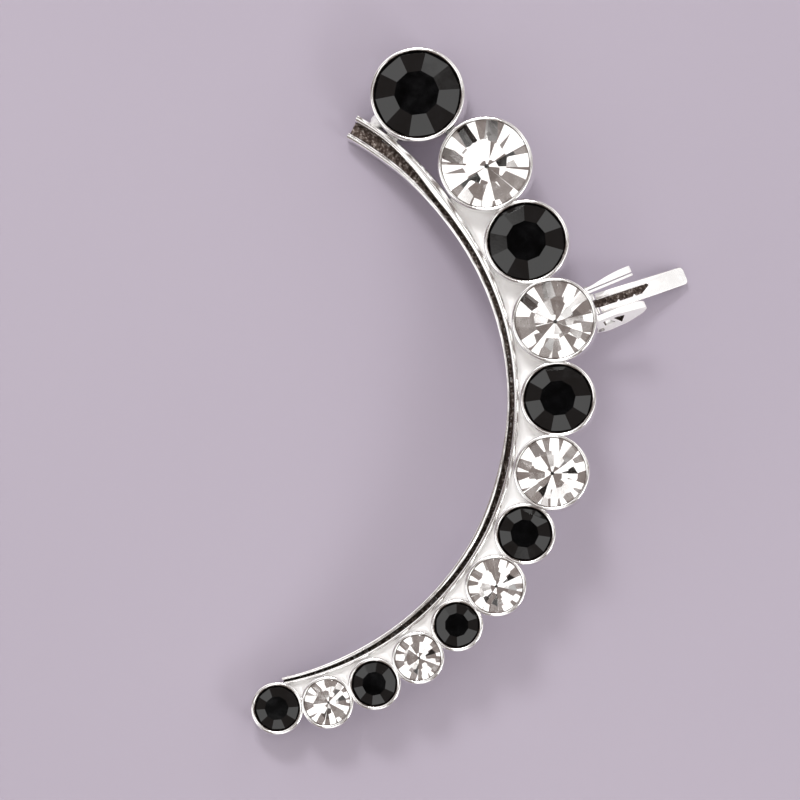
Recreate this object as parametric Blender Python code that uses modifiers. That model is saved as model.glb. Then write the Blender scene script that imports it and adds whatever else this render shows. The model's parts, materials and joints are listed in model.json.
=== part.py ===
"""Ear cuff: a crescent of round stones in bezel cups along a channelled rail, with a paddle clip behind it.

Units are metres. The plate of the crescent is modelled flat, with the centre of the rail's arc as its origin,
the backs of the cups at height 0 and the stones facing up. A last step turns the whole part so that it lies
on its back as it would by itself: on the two ends of the crescent and on the tip of the open lever.
"""

import math

import bmesh
import bpy
import numpy as np
from mathutils import Matrix, Vector
from mathutils.geometry import intersect_ray_tri

# The stones, from the top of the crescent to its lower end
STONE_SIZES = [  # diameter, how many of them follow each other
    (0.00720, 2),
    (0.00640, 2),
    (0.00565, 2),
    (0.00450, 2),
    (0.00380, 5),
]
STONE_SPACING = 0.000245  # between the edges of neighbouring stones
FIRST_SPACING = 0.00062  # between the two largest, which stand further apart
FIRST_STONE_ANGLE = math.radians(55.6)
STONE_TURN = math.radians(23.0)  # each stone is set turned by this from the one before it

# The cut, with its heights as shares of the stone's diameter
FACETS = 10
STONE_SIDES = 4 * FACETS
TABLE_SHARE = 0.48
CULET_SHARE = 0.05
CROWN_SHARE = 0.14
GIRDLE_SHARE = 0.02
PAVILION_SHARE = 0.43
PAVILION_TWIST = 0.5  # of a facet, against the crown

# The bezel cups
SEAT_CLEARANCE = 0.00005  # round the stone
CUP_WALL = 0.00016
CUP_FLOOR = 0.00045
CUP_SIDES = 32
RIM_GRIP = 0.00006  # how far the rim reaches in over the girdle
RIM_HEIGHT = 0.00016
RIM_CHAMFER = 0.00008
DRILL_SHARE = 0.12  # radius of the flat floor under the culet, of the stone's diameter

# The rail, a channel open at the top
RAIL_RADIUS = 0.0238
RAIL_START = math.radians(63.1)
RAIL_END = math.radians(-77.0)
RAIL_WIDTH = 0.0020
RAIL_HEIGHT = 0.0021
RAIL_BACK = 0.00012  # the rail's back stands this far above the backs of the cups
GROOVE_DEPTH = 0.0011
CUP_STANDOFF = 0.0001  # between the rail and the edge of each cup
RAIL_STEPS = 56
RAIL_SECTIONS = [
    # along the arc; width, outward shift, both of RAIL_WIDTH; groove, of the width; outer ridge, of both
    (0.00, 1.08, 0.11, 0.44, 0.53),
    (0.045, 1.02, 0.03, 0.46, 0.50),
    (0.095, 0.92, -0.02, 0.34, 0.62),
    (0.15, 0.82, -0.09, 0.19, 0.74),
    (0.195, 0.67, -0.15, 0.25, 0.75),
    (0.26, 0.59, -0.14, 0.28, 0.71),
    (0.36, 0.54, -0.07, 0.28, 0.69),
    (0.46, 0.49, 0.00, 0.33, 0.72),
    (0.56, 0.60, 0.08, 0.30, 0.60),
    (0.66, 0.58, 0.16, 0.23, 0.50),
    (0.78, 0.52, 0.14, 0.32, 0.54),
    (0.89, 0.45, 0.04, 0.28, 0.45),
    (1.00, 0.30, -0.06, 0.26, 0.45),
]
LAST_CUP_TUCK = 0.00046  # the last cup closes the rail's end and is set this much further in

# The web between rail and cups, and the solder that ties neighbours together
WEB_LOW = 0.0004
WEB_HIGH = 0.0014
TIE_WIDTH = 0.0011
TIE_LOW = 0.0003
TIE_HIGH = 0.0012
BEAD_RADIUS = 0.00045  # solder bead beside the rail's top end
BEAD_HEIGHT = 0.0018
BEAD_ANGLE = math.radians(59.2)

# The clip behind one of the stones: x runs outwards from the stone's middle, y across, z up
CLIP_STONE = 4
CLIP_ANGLE = math.radians(22.5)
CLIP_OFFSET = 0.0004  # the clip's middle line passes this far above the stone's middle
BASE_THICKNESS = 0.0006
BASE_INNER_END = 0.0026  # past the stone's middle, on the side away from the lever
SOLDER_LAP = 0.0001  # how far the base is let into the cup's floor
EAR_THICKNESS = 0.0005
EAR_REACH = 0.00395  # past the cup's edge
EAR_DEPTH = 0.0033  # behind the backs of the cups
UPPER_EAR_OFFSET = 0.00082  # from the clip's middle line to the ear's inner face, at the backs
LOWER_EAR_OFFSET = 0.00098
UPPER_FLARE = math.radians(5.0)  # both ears are bent out
LOWER_FLARE = math.radians(15.0)
EAR_OUTLINE = [  # past the cup's edge, of EAR_REACH; behind the backs, of EAR_DEPTH
    (-0.33, 0.09),
    (0.30, 0.09),
    (0.85, 0.22),
    (1.00, 0.40),
    (0.90, 0.60),
    (0.45, 0.95),
    (0.10, 1.00),
    (-0.20, 0.80),
]
EAR_WINDOWS = [  # corners of the windows in the lower ear, in the same shares
    [(0.04, 0.27), (0.18, 0.27), (0.27, 0.58), (0.06, 0.58)],
    [(0.27, 0.29), (0.50, 0.33), (0.40, 0.74)],
]
PIVOT_INSET = 0.0002  # inside the cup's edge
PIVOT_DEPTH = 0.0022
PIN_RADIUS = 0.00025
PIN_CLEARANCE = 0.0001
PIN_PROUD = 0.00012  # beyond the ears
PIN_SIDES = 16
TONGUE_WIDTH = 0.0004
TONGUE_THICKNESS = 0.0002
TONGUE_LENGTH = 0.0024

# The paddle lever: x runs from the pivot to the tip
LEVER_OPEN = math.radians(40.0)  # the open lever slopes back from the plate by this
LEVER_LENGTH = 0.0104
LEVER_THICKNESS = 0.0005
LEVER_ROOT_WIDTH = 0.00175
LEVER_TIP_WIDTH = 0.00155
LEVER_TIP_ROUND = 0.0004
LEVER_FLOOR = 0.00015  # metal left under the slot
KNUCKLE_RADIUS = 0.0006
FORK_LENGTH = 0.00046  # the slot is open at the back up to here, past the pivot
SLOT_WIDTH = 0.00062
SLOT_LENGTH = 0.0063
SLOT_POINT = 0.0010  # length of the slot's pointed end
SLOT_POINT_SHARE = 0.35  # where its point begins, of the slot's half width from the middle

CUT_MARGIN = 0.0005  # how far a cutter runs past the face that it opens
MARCH_STEPS = 30  # corrections that bring each stone to its spacing from the last one
CORNER_STEPS = 4  # along the round of a corner of the lever
WELD = 0.000001
SHARP_ANGLE = math.radians(30.0)


def clear_scene():
    for obj in list(bpy.data.objects):
        bpy.data.objects.remove(obj, do_unlink=True)
    for collection in list(bpy.data.collections):
        bpy.data.collections.remove(collection)


def new_collection(name, parent):
    collection = bpy.data.collections.new(name)
    parent.children.link(collection)
    return collection


def make_material(name, colour, metallic, roughness, transmission=0.0):
    material = bpy.data.materials.new(name)
    material.use_nodes = True
    shader = material.node_tree.nodes["Principled BSDF"]
    shader.inputs["Base Color"].default_value = (*colour, 1.0)
    shader.inputs["Metallic"].default_value = metallic
    shader.inputs["Roughness"].default_value = roughness
    shader.inputs["Transmission Weight"].default_value = transmission
    material.diffuse_color = (*colour, 1.0)
    return material


def add_object(name, mesh, collection, parent, frame=Matrix()):
    obj = bpy.data.objects.new(name, mesh)
    collection.objects.link(obj)
    obj.parent = parent
    obj.matrix_basis = frame
    return obj


def as_helper(obj):
    """Marks a shape that only joins or cuts another one."""
    obj.hide_render = True
    obj.display_type = "WIRE"
    return obj


def smooth(obj):
    obj.data.shade_smooth()
    obj.data.set_sharp_from_angle(angle=SHARP_ANGLE)


def turned(name, profile, sides, collection, parent, frame):
    """A solid turned about Z from (radius, height) points that run from the top of the axis to its bottom."""
    mesh = bpy.data.meshes.new(name)
    points = [(radius, 0.0, height) for radius, height in profile]
    mesh.from_pydata(points, [(i, i + 1) for i in range(len(points) - 1)], [])
    obj = add_object(name, mesh, collection, parent, frame)
    screw = obj.modifiers.new("turn", "SCREW")
    screw.steps = screw.render_steps = sides
    screw.use_merge_vertices = True
    screw.merge_threshold = WELD
    return obj


def plate(name, outline, low, high, collection, parent, frame):
    """A flat outline of (x, y) points, filled and thickened from height low to height high."""
    curve = bpy.data.curves.new(name, "CURVE")
    curve.dimensions = "2D"
    curve.fill_mode = "BOTH"
    curve.extrude = (high - low) / 2
    spline = curve.splines.new("POLY")
    spline.points.add(len(outline) - 1)
    for point, (x, y) in zip(spline.points, outline):
        point.co = (x, y, 0.0, 1.0)
    spline.use_cyclic_u = True
    drawn = bpy.data.objects.new(name, curve)
    collection.objects.link(drawn)
    graph = bpy.context.evaluated_depsgraph_get()
    mesh = bpy.data.meshes.new_from_object(drawn.evaluated_get(graph))
    bpy.data.objects.remove(drawn)
    work = bmesh.new()
    work.from_mesh(mesh)
    bmesh.ops.remove_doubles(work, verts=work.verts, dist=WELD)
    bmesh.ops.translate(work, verts=work.verts, vec=(0.0, 0.0, (low + high) / 2))
    bmesh.ops.recalc_face_normals(work, faces=work.faces)
    work.to_mesh(mesh)
    work.free()
    return add_object(name, mesh, collection, parent, frame)


def rod(name, radius, length, sides, collection, parent, frame):
    """A cylinder along the frame's Y axis, with its middle at the frame's origin."""
    mesh = bpy.data.meshes.new(name)
    work = bmesh.new()
    bmesh.ops.create_cone(
        work, cap_ends=True, segments=sides, radius1=radius, radius2=radius, depth=length
    )
    bmesh.ops.rotate(work, verts=work.verts, matrix=Matrix.Rotation(math.radians(90.0), 3, "X"))
    work.to_mesh(mesh)
    work.free()
    return add_object(name, mesh, collection, parent, frame)


def add_boolean(obj, operation, collection):
    modifier = obj.modifiers.new(operation.lower(), "BOOLEAN")
    modifier.operation = operation
    modifier.operand_type = "COLLECTION"
    modifier.collection = collection
    modifier.solver = "EXACT"
    return modifier


def rail_section(angle):
    """Radii, at an angle, of the rail's outer edge, the groove's outer and inner edge and the inner edge."""
    along = (RAIL_START - angle) / (RAIL_START - RAIL_END)
    along = min(max(along, 0.0), 1.0)
    rows = np.array(RAIL_SECTIONS)
    places = rows[:, 0]
    slopes = np.gradient(rows[:, 1:], places, axis=0)
    i = min(int(np.searchsorted(places, along, side="right")) - 1, len(places) - 2)
    span = places[i + 1] - places[i]
    t = (along - places[i]) / span
    start, end = rows[i, 1:], rows[i + 1, 1:]
    width, shift, groove, outer_ridge = (
        (2 * t**3 - 3 * t**2 + 1) * start
        + (t**3 - 2 * t**2 + t) * span * slopes[i]
        + (3 * t**2 - 2 * t**3) * end
        + (t**3 - t**2) * span * slopes[i + 1]
    )
    outer = RAIL_RADIUS + (shift + width / 2) * RAIL_WIDTH
    groove_outer = outer - (1 - groove) * outer_ridge * width * RAIL_WIDTH
    return outer, groove_outer, groove_outer - groove * width * RAIL_WIDTH, outer - width * RAIL_WIDTH


def rail_outer(angle):
    return rail_section(angle)[0]


def ridge_middle(angle):
    outer, groove_outer, _, _ = rail_section(angle)
    return (outer + groove_outer) / 2


def polar(radius, angle):
    return Vector((radius * math.cos(angle), radius * math.sin(angle), 0.0))


def cup_radius(diameter):
    return diameter / 2 + SEAT_CLEARANCE + CUP_WALL


def stone_places():
    """(diameter, angle, centre) of each stone: its cup stands off the rail, and beside the last one."""
    diameters = [diameter for diameter, count in STONE_SIZES for _ in range(count)]
    places = []
    angle = FIRST_STONE_ANGLE
    for number, diameter in enumerate(diameters):
        tuck = LAST_CUP_TUCK if number == len(diameters) - 1 else 0.0
        reach = cup_radius(diameter) + CUP_STANDOFF - tuck
        if places:
            last_diameter, last_angle, last_centre = places[-1]
            spacing = FIRST_SPACING if number == 1 else STONE_SPACING
            pitch = (last_diameter + diameter) / 2 + spacing
            angle = last_angle - pitch / last_centre.length
            for _ in range(MARCH_STEPS):
                step = (polar(rail_outer(angle) + reach, angle) - last_centre).length
                angle -= (pitch - step) / last_centre.length
        places.append((diameter, angle, polar(rail_outer(angle) + reach, angle)))
    return places


def stone_heights(diameter):
    """Heights above the cups' backs of the culet, the girdle's lower and upper edge and the table."""
    culet = CUP_FLOOR + SEAT_CLEARANCE
    low = culet + PAVILION_SHARE * diameter
    high = low + GIRDLE_SHARE * diameter
    return culet, low, high, high + CROWN_SHARE * diameter


def facet_slopes(diameter):
    """Rise of a pavilion facet and fall of a crown facet for each metre outwards."""
    radius = diameter / 2
    pavilion = PAVILION_SHARE * diameter / (radius - CULET_SHARE * radius)
    crown = CROWN_SHARE * diameter / (radius - TABLE_SHARE * radius)
    return pavilion, crown


def rim_top(diameter):
    """Height of the cup's rim, which stands over the highest point of the girdle's edge."""
    _, _, girdle_top, _ = stone_heights(diameter)
    _, crown_slope = facet_slopes(diameter)
    radius = diameter / 2
    inner = radius - RIM_GRIP
    corner_rise = crown_slope * (radius - inner * math.cos(math.pi / FACETS))
    underside = girdle_top + corner_rise + SEAT_CLEARANCE
    return underside, underside + RIM_HEIGHT


def make_stone(name, diameter, frame, collection, parent):
    """A round stone with a flat table. Its crown and pavilion facets scallop the girdle on either side."""
    radius = diameter / 2
    culet, girdle_low, girdle_high, table = stone_heights(diameter)
    pavilion_slope, crown_slope = facet_slopes(diameter)
    corner = math.cos(math.pi / FACETS)
    cuts = [  # turn in facets; slope and height at the girdle; share of the radius and height of the flat end
        (0.0, crown_slope, girdle_high, TABLE_SHARE, table),
        (PAVILION_TWIST, -pavilion_slope, girdle_low, CULET_SHARE, culet),
    ]
    points = []
    for twist, slope, girdle, flat, height in cuts:
        for side in range(STONE_SIDES):
            place = FACETS * side / STONE_SIDES
            from_middle = 2 * math.pi * ((place - twist) % 1.0 - 0.5) / FACETS
            rise = slope * radius * (1 - math.cos(from_middle))
            points.append(polar(radius, 2 * math.pi * side / STONE_SIDES) + Vector((0.0, 0.0, girdle + rise)))
        for facet in range(FACETS):
            angle = 2 * math.pi * (facet + twist) / FACETS
            points.append(polar(flat * radius / corner, angle) + Vector((0.0, 0.0, height)))
    mesh = bpy.data.meshes.new(name)
    work = bmesh.new()
    for point in points:
        work.verts.new(point)
    bmesh.ops.convex_hull(work, input=work.verts)
    bmesh.ops.dissolve_limit(
        work, angle_limit=math.radians(0.5), verts=work.verts, edges=work.edges
    )
    work.to_mesh(mesh)
    work.free()
    return add_object(name, mesh, collection, parent, frame)


def make_cup(number, diameter, frame, solids, bores, parent):
    """The blank of a bezel cup, and the bore that holds its stone with a rim over the girdle."""
    outer = cup_radius(diameter)
    underside, top = rim_top(diameter)
    profile = [
        (0.0, top),
        (outer - RIM_CHAMFER, top),
        (outer, top - RIM_CHAMFER),
        (outer, 0.0),
        (0.0, 0.0),
    ]
    as_helper(turned(f"cup_{number:02d}", profile, CUP_SIDES, solids, parent, frame))

    culet, girdle_low, _, _ = stone_heights(diameter)
    pavilion_slope, _ = facet_slopes(diameter)
    radius = diameter / 2
    mouth = radius - RIM_GRIP
    bore = radius + SEAT_CLEARANCE
    seat_top = girdle_low - pavilion_slope * radius * (1 - math.cos(math.pi / FACETS)) - SEAT_CLEARANCE
    profile = [
        (0.0, top + CUT_MARGIN),
        (mouth, top + CUT_MARGIN),
        (mouth, underside),
        (bore, underside),
        (bore, seat_top),
        (DRILL_SHARE * diameter, CUP_FLOOR),
        (0.0, CUP_FLOOR),
    ]
    as_helper(turned(f"bore_{number:02d}", profile, CUP_SIDES, bores, parent, frame))


def make_rail(collection, parent):
    """The channel rail, lofted through its sections with both ends closed."""
    mesh = bpy.data.meshes.new("cuff_frame")
    work = bmesh.new()
    rings = []
    for step in range(RAIL_STEPS + 1):
        angle = RAIL_START + (RAIL_END - RAIL_START) * step / RAIL_STEPS
        outer, groove_outer, groove_inner, inner = rail_section(angle)
        top, floor = RAIL_HEIGHT, RAIL_HEIGHT - GROOVE_DEPTH
        section = [
            (inner, RAIL_BACK),
            (outer, RAIL_BACK),
            (outer, top),
            (groove_outer, top),
            (groove_outer, floor),
            (groove_inner, floor),
            (groove_inner, top),
            (inner, top),
        ]
        rings.append([work.verts.new(polar(r, angle) + Vector((0.0, 0.0, z))) for r, z in section])
    for ring, following in zip(rings, rings[1:]):
        for i in range(len(ring)):
            j = (i + 1) % len(ring)
            work.faces.new((ring[i], ring[j], following[j], following[i]))
    work.faces.new(rings[0])
    work.faces.new(rings[-1])
    bmesh.ops.recalc_face_normals(work, faces=work.faces)
    work.to_mesh(mesh)
    work.free()
    return add_object("cuff_frame", mesh, collection, parent)


def make_web(places, solids, parent):
    """The plate from the rail's outer ridge to the line through the cups' middles, from the second one on."""
    _, start, _ = places[1]
    steps = RAIL_STEPS // 2
    outline = []
    for step in range(steps + 1):
        angle = start + (RAIL_END - start) * step / steps
        outline.append(polar(ridge_middle(angle), angle)[:2])
    outline += [centre[:2] for _, _, centre in reversed(places[1:])]
    as_helper(plate("web", outline, WEB_LOW, WEB_HIGH, solids, parent, Matrix()))


def make_ties(places, solids, parent):
    """Solder from each cup to the next and from the first cup to the rail, and the bead at its end."""
    ends = [(a, b) for (_, _, a), (_, _, b) in zip(places, places[1:])]
    _, first_angle, first_centre = places[0]
    ends.append((first_centre, polar(ridge_middle(first_angle), first_angle)))
    for number, (a, b) in enumerate(ends):
        along = (b - a).normalized()
        across = Vector((-along.y, along.x, 0.0)) * TIE_WIDTH / 2
        outline = [(corner.x, corner.y) for corner in (a - across, b - across, b + across, a + across)]
        name = f"tie_{number:02d}"
        as_helper(plate(name, outline, TIE_LOW, TIE_HIGH, solids, parent, Matrix()))
    place = Matrix.Translation(polar(rail_outer(BEAD_ANGLE), BEAD_ANGLE))
    profile = [
        (0.0, BEAD_HEIGHT),
        (BEAD_RADIUS, BEAD_HEIGHT - BEAD_RADIUS),
        (BEAD_RADIUS, WEB_LOW),
        (0.0, WEB_LOW),
    ]
    as_helper(turned("solder_bead", profile, PIN_SIDES, solids, parent, place))


def clip_frame(places):
    """Frame of the clip: its origin is on its middle line beside the stone's middle, level with the backs."""
    _, _, centre = places[CLIP_STONE - 1]
    turn = Matrix.Rotation(CLIP_ANGLE, 4, "Z")
    return Matrix.Translation(centre) @ turn @ Matrix.Translation((0.0, CLIP_OFFSET, 0.0))


def cup_edge(places):
    """How far along the clip's middle line the cup's edge lies."""
    diameter, _, _ = places[CLIP_STONE - 1]
    return math.sqrt(cup_radius(diameter) ** 2 - CLIP_OFFSET**2)


def make_bracket(places, frame, solids, bores, parent):
    """The base strip behind the cup, its two ears, the spring tongue and the hole for the pin."""
    edge = cup_edge(places)
    low, high = -LOWER_EAR_OFFSET - EAR_THICKNESS, UPPER_EAR_OFFSET + EAR_THICKNESS
    strip = [(-BASE_INNER_END, low), (edge, low), (edge, high), (-BASE_INNER_END, high)]
    as_helper(plate("clip_base", strip, -BASE_THICKNESS, SOLDER_LAP, solids, parent, frame))

    half = EAR_THICKNESS / 2
    ears = [("ear_upper", 1, UPPER_EAR_OFFSET, UPPER_FLARE), ("ear_lower", -1, LOWER_EAR_OFFSET, LOWER_FLARE)]
    for name, sign, offset, flare in ears:
        upright = Matrix.Rotation(math.radians(90.0) + sign * flare, 4, "X")
        place = frame @ Matrix.Translation((0.0, sign * (offset + half), 0.0)) @ upright
        as_helper(plate(name, ear_points(EAR_OUTLINE, edge), -half, half, solids, parent, place))
    for corners in EAR_WINDOWS:
        window = plate("ear_window", ear_points(corners, edge), -2 * half, 2 * half, bores, parent, place)
        as_helper(window)

    pivot = Matrix.Translation((edge - PIVOT_INSET, 0.0, -PIVOT_DEPTH))
    hole = PIN_RADIUS + PIN_CLEARANCE
    length = 2 * sum(pin_reaches())
    as_helper(rod("pin_hole", hole, length, PIN_SIDES, bores, parent, frame @ pivot))

    under_pin = PIVOT_DEPTH - PIN_RADIUS - PIN_CLEARANCE
    rise = math.atan2(under_pin - BASE_THICKNESS - TONGUE_THICKNESS, TONGUE_LENGTH)
    lean = Matrix.Rotation(rise, 4, "Y")
    tip = Matrix.Translation((edge - PIVOT_INSET - PIN_RADIUS, 0.0, -under_pin))
    length, half = TONGUE_LENGTH + BASE_THICKNESS, TONGUE_WIDTH / 2
    strip = [(-length, -half), (0.0, -half), (0.0, half), (-length, half)]
    place = frame @ tip @ lean
    as_helper(plate("spring_tongue", strip, 0.0, TONGUE_THICKNESS, solids, parent, place))


def ear_points(shares, edge):
    """Corners in an ear's plane from their shares of the ear's reach and depth."""
    return [(edge + along * EAR_REACH, -deep * EAR_DEPTH) for along, deep in shares]


def pin_reaches():
    """How far the pin runs past the upper and past the lower leaning ear, from the clip's middle line."""
    ears = [(UPPER_EAR_OFFSET, UPPER_FLARE), (LOWER_EAR_OFFSET, LOWER_FLARE)]
    return [
        offset + PIVOT_DEPTH * math.tan(flare) + EAR_THICKNESS / math.cos(flare) + PIN_PROUD
        for offset, flare in ears
    ]


def pivot_frame(places, frame):
    """The pivot, with X along the open lever, Y across it and Z on the side of the stones."""
    reach = cup_edge(places) - PIVOT_INSET
    open_turn = Matrix.Rotation(LEVER_OPEN, 4, "Y")
    return frame @ Matrix.Translation((reach, 0.0, -PIVOT_DEPTH)) @ open_turn


def make_pin(places, frame, collection, parent, material):
    """The hinge pin. The lower ear leans out further, so the pin's middle is shifted towards it."""
    upper, lower = pin_reaches()
    place = pivot_frame(places, frame) @ Matrix.Translation((0.0, (upper - lower) / 2, 0.0))
    pin = rod("hinge_pin", PIN_RADIUS, upper + lower, PIN_SIDES, collection, parent, place)
    pin.data.materials.append(material)
    smooth(pin)


def make_lever(places, frame, collection, cutters, parent, material):
    """The paddle: a plate with a sunk slot that forks into two knuckles on the pin, where its origin is."""
    solids = new_collection("lever_solids", cutters)
    cuts = new_collection("lever_cuts", cutters)
    root, tip, rounding = LEVER_ROOT_WIDTH / 2, LEVER_TIP_WIDTH / 2, LEVER_TIP_ROUND
    outline = [(0.0, -root)]
    for sign in (-1, 1):
        for step in range(CORNER_STEPS + 1):
            turn = math.radians(90.0) * (step if sign < 0 else CORNER_STEPS - step) / CORNER_STEPS
            across = tip - rounding * (1 - math.cos(turn))
            outline.append((LEVER_LENGTH - rounding * (1 - math.sin(turn)), sign * across))
    outline.append((0.0, root))
    place = pivot_frame(places, frame)
    half = LEVER_THICKNESS / 2
    lever = plate("clip_lever", outline, -half, half, collection, parent, place)
    as_helper(rod("knuckle", KNUCKLE_RADIUS, LEVER_ROOT_WIDTH, PIN_SIDES, solids, parent, place))

    slot = SLOT_WIDTH / 2
    start = -KNUCKLE_RADIUS - CUT_MARGIN
    shoulder = SLOT_LENGTH - SLOT_POINT
    depth = KNUCKLE_RADIUS + CUT_MARGIN
    fork = [(start, -slot), (FORK_LENGTH, -slot), (FORK_LENGTH, slot), (start, slot)]
    as_helper(plate("fork", fork, -depth, depth, cuts, parent, place))
    sunk = [
        (0.0, -slot),
        (shoulder, -slot),
        (SLOT_LENGTH, SLOT_POINT_SHARE * slot),
        (SLOT_LENGTH, slot),
        (0.0, slot),
    ]
    as_helper(plate("slot", sunk, LEVER_FLOOR - half, depth, cuts, parent, place))
    bore = PIN_RADIUS + PIN_CLEARANCE
    as_helper(rod("knuckle_bore", bore, 2 * LEVER_ROOT_WIDTH, PIN_SIDES, cuts, parent, place))
    add_boolean(lever, "UNION", solids)
    add_boolean(lever, "DIFFERENCE", cuts)
    lever.data.materials.append(material)
    smooth(lever)


def evaluated_shape(obj, graph):
    """Corner points and triangles of an object, in the world's frame."""
    evaluated = obj.evaluated_get(graph)
    mesh = evaluated.to_mesh()
    mesh.calc_loop_triangles()
    points = [evaluated.matrix_world @ vertex.co for vertex in mesh.vertices]
    triangles = [tuple(triangle.vertices) for triangle in mesh.loop_triangles]
    evaluated.to_mesh_clear()
    return points, triangles


def lay_down(root, pieces):
    """Turns the root so that the part rests on the hull's face under its middle, and centres it there."""
    bpy.context.view_layer.update()
    graph = bpy.context.evaluated_depsgraph_get()
    hull = bmesh.new()
    volume, moment = 0.0, Vector()
    for piece in pieces:
        points, triangles = evaluated_shape(piece, graph)
        for i, j, k in triangles:
            a, b, c = points[i], points[j], points[k]
            share = a.dot(b.cross(c)) / 6
            volume += share
            moment += share * (a + b + c) / 4
        for point in points:
            hull.verts.new(point)
    middle = moment / volume
    corners = [vertex.co.copy() for vertex in hull.verts]
    bmesh.ops.convex_hull(hull, input=hull.verts)
    hull.normal_update()
    under = [
        face.normal.copy()
        for face in hull.faces
        if intersect_ray_tri(*(vertex.co for vertex in face.verts), face.normal, middle)
    ]
    hull.free()
    down = Vector((0.0, 0.0, -1.0))
    support = max(under, key=down.dot)
    turn = support.rotation_difference(down).to_matrix().to_4x4()
    turned_corners = np.array([turn @ corner for corner in corners])
    low, high = turned_corners.min(axis=0), turned_corners.max(axis=0)
    shift = Vector((-(low[0] + high[0]) / 2, -(low[1] + high[1]) / 2, -low[2]))
    root.matrix_world = Matrix.Translation(shift) @ turn


def main():
    clear_scene()
    scene = bpy.context.scene.collection
    pieces = new_collection("ear_cuff", scene)
    cutters = new_collection("ear_cuff_cutters", scene)
    solids = new_collection("frame_solids", cutters)
    bores = new_collection("frame_bores", cutters)
    root = bpy.data.objects.new("ear_cuff_root", None)
    pieces.objects.link(root)

    silver = make_material("silver_plate", (0.86, 0.86, 0.87), 1.0, 0.16)
    black = make_material("black_glass", (0.01, 0.01, 0.011), 0.0, 0.05)
    clear = make_material("foiled_glass", (0.93, 0.94, 0.95), 0.0, 0.02, 0.85)

    places = stone_places()
    frame = make_rail(pieces, root)
    frame.data.materials.append(silver)
    for number, (diameter, angle, centre) in enumerate(places, start=1):
        place = Matrix.Translation(centre)
        make_cup(number, diameter, place, solids, bores, root)
        turn = Matrix.Rotation(angle + STONE_TURN * number, 4, "Z")
        stone = make_stone(f"stone_{number:02d}", diameter, place @ turn, pieces, root)
        stone.data.materials.append(black if number % 2 else clear)
    make_web(places, solids, root)
    make_ties(places, solids, root)
    clip = clip_frame(places)
    make_bracket(places, clip, solids, bores, root)
    add_boolean(frame, "UNION", solids)
    add_boolean(frame, "DIFFERENCE", bores)
    smooth(frame)
    make_pin(places, clip, pieces, root, silver)
    make_lever(places, clip, pieces, cutters, root, silver)
    lay_down(root, [obj for obj in pieces.objects if obj.type == "MESH"])


main()
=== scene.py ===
import math

import bmesh
import bpy
import numpy as np
from mathutils import Matrix, Vector, noise
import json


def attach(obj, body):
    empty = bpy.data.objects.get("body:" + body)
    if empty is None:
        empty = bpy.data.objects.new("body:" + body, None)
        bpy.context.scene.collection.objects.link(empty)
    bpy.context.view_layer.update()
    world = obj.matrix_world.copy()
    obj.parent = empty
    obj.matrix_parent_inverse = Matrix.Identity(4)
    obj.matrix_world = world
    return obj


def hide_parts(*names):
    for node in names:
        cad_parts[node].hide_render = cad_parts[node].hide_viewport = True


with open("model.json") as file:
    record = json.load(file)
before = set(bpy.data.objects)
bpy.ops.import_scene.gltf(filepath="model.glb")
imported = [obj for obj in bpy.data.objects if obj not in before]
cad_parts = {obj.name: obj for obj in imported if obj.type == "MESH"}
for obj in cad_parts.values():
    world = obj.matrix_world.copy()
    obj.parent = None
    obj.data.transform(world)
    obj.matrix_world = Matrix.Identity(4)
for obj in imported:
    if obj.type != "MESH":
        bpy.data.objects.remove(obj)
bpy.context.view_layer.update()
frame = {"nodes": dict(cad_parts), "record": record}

# The picture
FIELD = 0.064  # width and height of what the camera sees at the plate
PHOTO_MIDDLE = (0.01472, -0.00064)  # in the plate, from the middle of the rail's arc
PHOTO_HEIGHT = 0.002
CAMERA_DISTANCE = 0.40
CAMERA_RIGHT = math.radians(4.0)  # the photograph is taken from a little right of the plate's normal
CAMERA_BELOW = math.radians(4.0)  # and from a little below it
CAMERA_CLIP = 0.01
SENSOR = 36.0
FLOOR_SIZE = 3.0  # half the floor's width
FLOOR_DROP = 0.00002

# The same driving sizes as the solids have, apart from the rim's grip and the bead of solder
SEAT_CLEARANCE = 0.00005
CUP_WALL = 0.00016
CUP_FLOOR = 0.00045
RIM_GRIP = 0.0001  # wider than in the solids, as hand-set rims are
RIM_HEIGHT = 0.00016
DRILL_SHARE = 0.12  # radius of the flat floor under the stone's point, of the diameter
FACETS = 10
TABLE_SHARE = 0.48
PAVILION_SHARE = 0.43
GIRDLE_SHARE = 0.02
CROWN_SHARE = 0.14
FIRST_STONE_ANGLE = math.radians(55.6)
RAIL_RADIUS = 0.0238
RAIL_START = math.radians(63.1)
RAIL_END = math.radians(-77.0)
RAIL_WIDTH = 0.0020
RAIL_HEIGHT = 0.0021
RAIL_BACK = 0.00012
GROOVE_DEPTH = 0.0011
CUP_STANDOFF = 0.0001
RAIL_SECTIONS = [
    # along the arc; width, outward shift, both of RAIL_WIDTH; groove, of the width; outer ridge, of both
    (0.00, 1.08, 0.11, 0.44, 0.53),
    (0.045, 1.02, 0.03, 0.46, 0.50),
    (0.095, 0.92, -0.02, 0.34, 0.62),
    (0.15, 0.82, -0.09, 0.19, 0.74),
    (0.195, 0.67, -0.15, 0.25, 0.75),
    (0.26, 0.59, -0.14, 0.28, 0.71),
    (0.36, 0.54, -0.07, 0.28, 0.69),
    (0.46, 0.49, 0.00, 0.33, 0.72),
    (0.56, 0.60, 0.08, 0.30, 0.60),
    (0.66, 0.58, 0.16, 0.23, 0.50),
    (0.78, 0.52, 0.14, 0.32, 0.54),
    (0.89, 0.45, 0.04, 0.28, 0.45),
    (1.00, 0.30, -0.06, 0.26, 0.45),
]
WEB_LOW = 0.0004
WEB_HIGH = 0.0014
TIE_WIDTH = 0.0011
BEAD_RADIUS = 0.0006
BEAD_HEIGHT = 0.0026
BEAD_OUT = 0.0004  # past the rail's outer edge
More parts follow.
